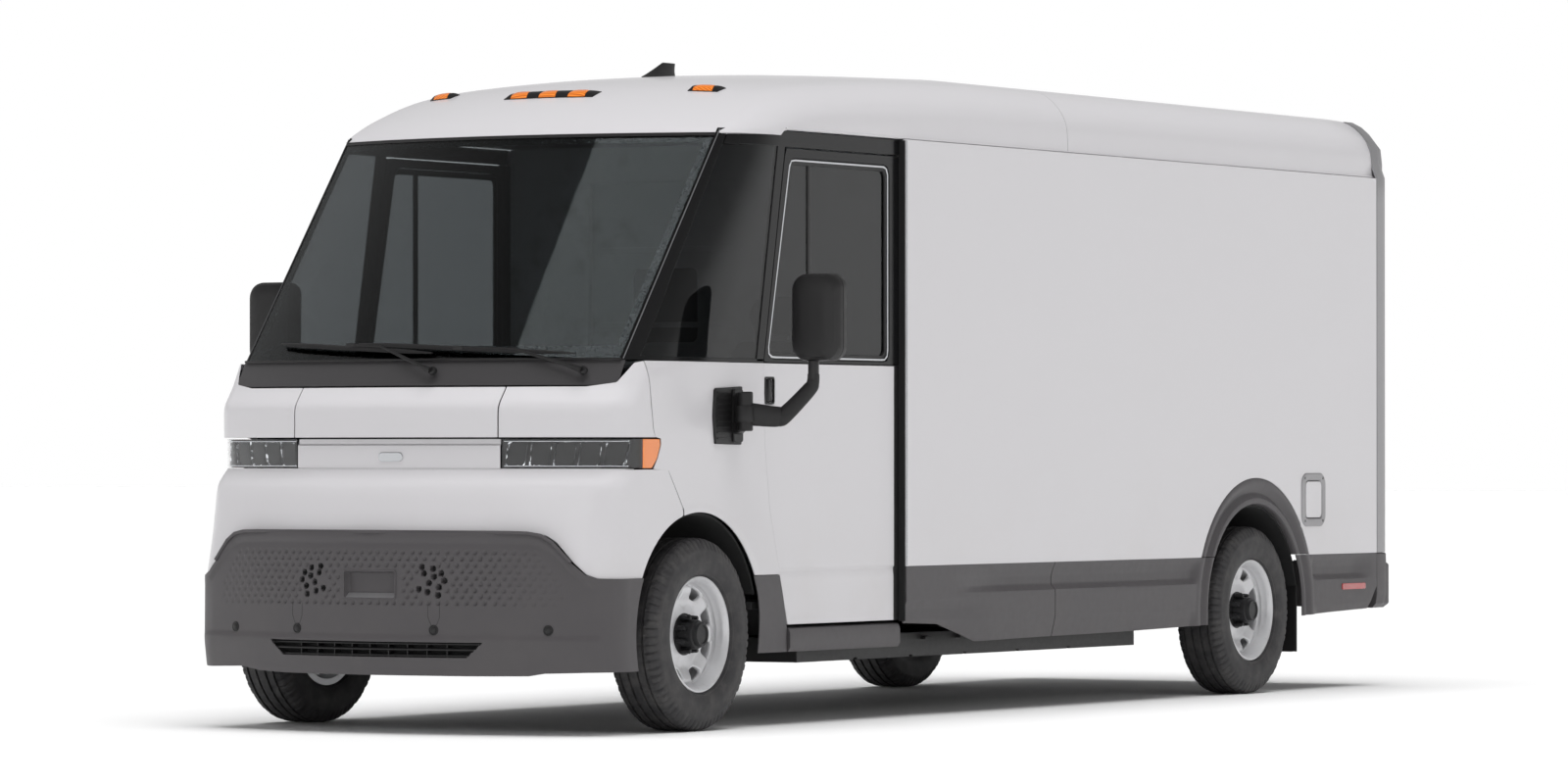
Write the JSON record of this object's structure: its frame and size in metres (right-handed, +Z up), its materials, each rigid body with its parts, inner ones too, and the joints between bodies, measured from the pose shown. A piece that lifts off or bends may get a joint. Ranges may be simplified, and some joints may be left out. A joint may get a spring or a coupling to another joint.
{
  "type": "mail delivery truck",
  "caption": "Electric walk-in delivery truck with a raked cab, sliding cab doors, a box cargo body with rear swing doors, dark lower cladding and steel wheels.",
  "frame": {"origin": "on the ground, under the centre of the truck's length and width", "axes": "front towards -Y, driver's (left) side towards +X, +Z up"},
  "size_m": [2.722, 6.8819, 2.6239],
  "materials": {
    "paint_white": "satin gloss body paint on composite panels",
    "cladding_grey": "fine-grained moulded plastic",
    "black_trim": "gloss black",
    "tinted_glass": "tinted",
    "lens_clear": "clear moulded lens",
    "lens_amber": "moulded lens",
    "lens_red": "moulded lens",
    "lamp_chrome": "plated reflector",
    "chassis_black": "black coated",
    "steel_black": "black coated",
    "battery_case": "coated battery case, with the pack's mean density",
    "trim_metal": "brushed",
    "liner_panel": "smooth liner",
    "floor_panel": "coated ply with grip",
    "interior_grey": "grained",
    "tyre_rubber": "treaded rubber",
    "wheel_silver": "silver paint",
    "seat_cloth": "woven",
    "mirror_face": "silvered"
  },
  "bodies": {
    "truck_body": {"chassis_frame": "chassis_black", "battery_pack": "battery_case", "floor_pan": "floor_panel", "front_fascia": "paint_white", "fenders": "paint_white", "front_bumper": "cladding_grey", "bumper_grille": "black_trim", "nose_panel": "paint_white", "headlamp_housings": "lamp_chrome", "headlamp_lenses": "lens_clear", "windshield": "tinted_glass", "cowl_panel": "cladding_grey", "window_frames": "black_trim", "quarter_windows": "tinted_glass", "roof_cap": "paint_white", "cargo_roof": "paint_white", "cargo_sides": "paint_white", "rear_frame": "trim_metal", "rear_bumper": "cladding_grey", "side_cladding": "cladding_grey", "roof_fittings": "black_trim", "amber_lenses": "lens_amber", "red_lenses": "lens_red", "bulkhead": "liner_panel", "dashboard": "interior_grey", "suspension": "steel_black", "wheel_liners": "cladding_grey", "charge_port_frame": "cladding_grey", "mirror_brackets": "cladding_grey"},
    "knuckle_left": {"knuckle_left": "steel_black"},
    "wheel_front_left": {"wheel_front_left": "wheel_silver", "tyre_front_left": "tyre_rubber"},
    "wheel_rear_left": {"wheel_rear_left": "wheel_silver", "tyre_rear_left": "tyre_rubber"},
    "cab_door_left": {"door_left": "paint_white", "door_glass_left": "tinted_glass"},
    "door_handle_left": {"door_handle_left": "black_trim"},
    "rear_door_left": {"rear_door_left": "paint_white"},
    "mirror_arm_left": {"mirror_arm_left": "cladding_grey"},
    "mirror_head_left": {"mirror_head_left": "cladding_grey", "mirror_glass_left": "mirror_face"},
    "wiper_left": {"wiper_left": "black_trim"},
    "knuckle_right": {"knuckle_right": "steel_black"},
    "wheel_front_right": {"wheel_front_right": "wheel_silver", "tyre_front_right": "tyre_rubber"},
    "wheel_rear_right": {"wheel_rear_right": "wheel_silver", "tyre_rear_right": "tyre_rubber"},
    "cab_door_right": {"door_right": "paint_white", "door_glass_right": "tinted_glass"},
    "door_handle_right": {"door_handle_right": "black_trim"},
    "rear_door_right": {"rear_door_right": "paint_white"},
    "mirror_arm_right": {"mirror_arm_right": "cladding_grey"},
    "mirror_head_right": {"mirror_head_right": "cladding_grey", "mirror_glass_right": "mirror_face"},
    "wiper_right": {"wiper_right": "black_trim"},
    "steering_wheel": {"steering_wheel": "interior_grey"},
    "driver_seat": {"driver_seat": "seat_cloth"},
    "hood": {"hood": "paint_white"},
    "charge_flap": {"charge_flap": "paint_white"},
    "bulkhead_door": {"bulkhead_door": "liner_panel"}
  },
  "joints": [
    {"name": "steer_left", "type": "hinge", "parent": "truck_body", "child": "knuckle_left", "pos_m": [0.705, -2.591, 0.366], "axis": [0, 0, 1], "range_deg": [-28, 28]},
    {"name": "front_wheel_spin_left", "type": "hinge", "parent": "knuckle_left", "child": "wheel_front_left", "pos_m": [0.849, -2.591, 0.366], "axis": [1, 0, 0], "continuous": true},
    {"name": "rear_wheel_spin_left", "type": "hinge", "parent": "truck_body", "child": "wheel_rear_left", "pos_m": [0.849, 2.07, 0.366], "axis": [1, 0, 0], "continuous": true},
    {"name": "cab_door_slide_left", "type": "slide", "parent": "truck_body", "child": "cab_door_left", "axis": [0, 1, 0], "range_m": [0, 0.96]},
    {"name": "door_handle_pull_left", "type": "hinge", "parent": "cab_door_left", "child": "door_handle_left", "pos_m": [0.921, -2.093, 1.2925], "axis": [0, 0, -1], "range_deg": [0, 30], "stiffness_Nm_per_rad": 0.6},
    {"name": "rear_door_swing_left", "type": "hinge", "parent": "truck_body", "child": "rear_door_left", "pos_m": [0.87, 3.422, 1.4], "axis": [0, 0, -1], "range_deg": [0, 105]},
    {"name": "mirror_fold_left", "type": "hinge", "parent": "truck_body", "child": "mirror_arm_left", "pos_m": [1.004, -2.366, 1.2], "axis": [0, 0, 1], "range_deg": [-70, 45]},
    {"name": "mirror_swivel_left", "type": "hinge", "parent": "mirror_arm_left", "child": "mirror_head_left", "pos_m": [1.238, -2.251, 1.4], "axis": [0, 0, 1], "range_deg": [-20, 20]},
    {"name": "wiper_sweep_left", "type": "hinge", "parent": "truck_body", "child": "wiper_left", "pos_m": [0.74, -3.0877, 1.362], "axis": [0, 0.7838, -0.621], "range_deg": [0, 70]},
    {"name": "steer_right", "type": "hinge", "parent": "truck_body", "child": "knuckle_right", "pos_m": [-0.705, -2.591, 0.366], "axis": [0, 0, 1], "range_deg": [-28, 28]},
    {"name": "front_wheel_spin_right", "type": "hinge", "parent": "knuckle_right", "child": "wheel_front_right", "pos_m": [-0.849, -2.591, 0.366], "axis": [1, 0, 0], "continuous": true},
    {"name": "rear_wheel_spin_right", "type": "hinge", "parent": "truck_body", "child": "wheel_rear_right", "pos_m": [-0.849, 2.07, 0.366], "axis": [1, 0, 0], "continuous": true},
    {"name": "cab_door_slide_right", "type": "slide", "parent": "truck_body", "child": "cab_door_right", "axis": [0, 1, 0], "range_m": [0, 0.96]},
    {"name": "door_handle_pull_right", "type": "hinge", "parent": "cab_door_right", "child": "door_handle_right", "pos_m": [-0.921, -2.093, 1.2925], "axis": [0, 0, 1], "range_deg": [0, 30], "stiffness_Nm_per_rad": 0.6},
    {"name": "rear_door_swing_right", "type": "hinge", "parent": "truck_body", "child": "rear_door_right", "pos_m": [-0.87, 3.422, 1.4], "axis": [0, 0, 1], "range_deg": [0, 105]},
    {"name": "mirror_fold_right", "type": "hinge", "parent": "truck_body", "child": "mirror_arm_right", "pos_m": [-1.004, -2.366, 1.2], "axis": [0, 0, -1], "range_deg": [-70, 45]},
    {"name": "mirror_swivel_right", "type": "hinge", "parent": "mirror_arm_right", "child": "mirror_head_right", "pos_m": [-1.238, -2.251, 1.4], "axis": [0, 0, -1], "range_deg": [-20, 20]},
    {"name": "wiper_sweep_right", "type": "hinge", "parent": "truck_body", "child": "wiper_right", "pos_m": [0.15, -3.21234, 1.362], "axis": [0.1483, 0.7752, -0.6141], "range_deg": [0, 70]},
    {"name": "steering_turn", "type": "hinge", "parent": "truck_body", "child": "steering_wheel", "pos_m": [0.45, -2.001, 1.16], "axis": [0, 0.9511, 0.309], "range_deg": [-430, 430]},
    {"name": "seat_slide", "type": "slide", "parent": "truck_body", "child": "driver_seat", "axis": [0, 1, 0], "range_m": [-0.15, 0.04]},
    {"name": "hood_lift", "type": "hinge", "parent": "truck_body", "child": "hood", "pos_m": [0, -3.231, 1.296], "axis": [-1, 0, 0], "range_deg": [0, 42]},
    {"name": "charge_flap_swing", "type": "hinge", "parent": "truck_body", "child": "charge_flap", "pos_m": [0.959, 2.565, 0.846], "axis": [0, 0, -1], "range_deg": [0, 95]},
    {"name": "bulkhead_door_slide", "type": "slide", "parent": "truck_body", "child": "bulkhead_door", "axis": [1, 0, 0], "range_m": [0, 0.62]}
  ],
  "couplings": [
    {"joint": "steer_right", "follows": "steer_left", "ratio": 1},
    {"joint": "steering_turn", "follows": "steer_left", "ratio": 15},
    {"joint": "wiper_sweep_right", "follows": "wiper_sweep_left", "ratio": 1}
  ]
}
